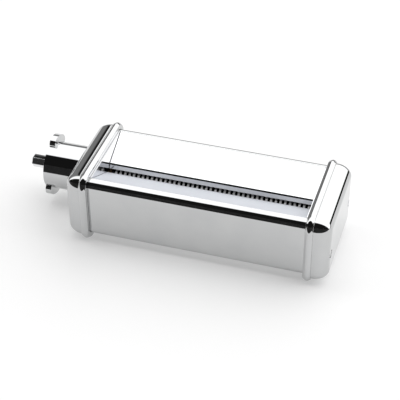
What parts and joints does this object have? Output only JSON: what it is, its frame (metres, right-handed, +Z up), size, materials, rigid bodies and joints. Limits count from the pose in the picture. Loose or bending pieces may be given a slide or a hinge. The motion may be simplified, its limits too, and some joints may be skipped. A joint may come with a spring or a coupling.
{
  "type": "pasta cutter attachment",
  "caption": "Stand mixer pasta cutter: chrome housing with a hopper, two geared grooved rollers, stripper combs and a bayonet hub with a six-sided drive shaft.",
  "frame": {"origin": "under the middle of the whole object, on the surface it stands on", "axes": "+X along the rollers from the drive shaft to the outer end cap, -Y the front, +Z up"},
  "size_m": [0.2408, 0.084, 0.0576],
  "materials": {
    "chrome": "bright chrome plate, mirror polished",
    "polished_steel": "stainless sheet, polished bright",
    "ground_steel": "turned and ground stainless steel",
    "zinc_steel": "zinc plated steel, satin",
    "bronze": "sintered bronze, oil filled, satin"
  },
  "bodies": {
    "housing": {"front_cover": "chrome", "rear_cover": "chrome", "drive_end_cap": "chrome", "outer_end_cap": "chrome", "mounting_hub": "chrome", "front_guide_plate": "polished_steel", "rear_guide_plate": "polished_steel", "drive_end_plate": "polished_steel", "outer_end_plate": "polished_steel", "front_stripper_comb": "polished_steel", "rear_stripper_comb": "polished_steel", "front_tie_rod": "zinc_steel", "rear_tie_rod": "zinc_steel", "front_comb_rod": "zinc_steel", "rear_comb_rod": "zinc_steel", "front_tie_rod_screw": "zinc_steel", "rear_tie_rod_screw": "zinc_steel", "front_cap_screw": "zinc_steel", "rear_cap_screw": "zinc_steel", "front_comb_screw_drive": "zinc_steel", "front_comb_screw_outer": "zinc_steel", "rear_comb_screw_drive": "zinc_steel", "rear_comb_screw_outer": "zinc_steel", "hub_screw_1": "zinc_steel", "hub_screw_2": "zinc_steel", "hub_screw_3": "zinc_steel", "front_drive_bush": "bronze", "front_outer_bush": "bronze", "rear_drive_bush": "bronze", "rear_outer_bush": "bronze", "hub_bush": "bronze"},
    "rear_roller_drive": {"drive_shaft": "ground_steel", "rear_cutter_roller": "ground_steel", "rear_timing_gear": "ground_steel", "rear_outer_ring": "zinc_steel"},
    "front_roller": {"front_cutter_roller": "ground_steel", "front_timing_gear": "ground_steel", "front_outer_ring": "zinc_steel"}
  },
  "joints": [
    {"name": "rear_roller_spin", "type": "hinge", "parent": "housing", "child": "rear_roller_drive", "pos_m": [0.0226, 0.0094, 0.0276], "axis": [1, 0, 0], "continuous": true},
    {"name": "front_roller_spin", "type": "hinge", "parent": "housing", "child": "front_roller", "pos_m": [0.0226, -0.0066, 0.0276], "axis": [1, 0, 0], "continuous": true}
  ],
  "couplings": [
    {"joint": "front_roller_spin", "follows": "rear_roller_spin", "ratio": -1}
  ]
}
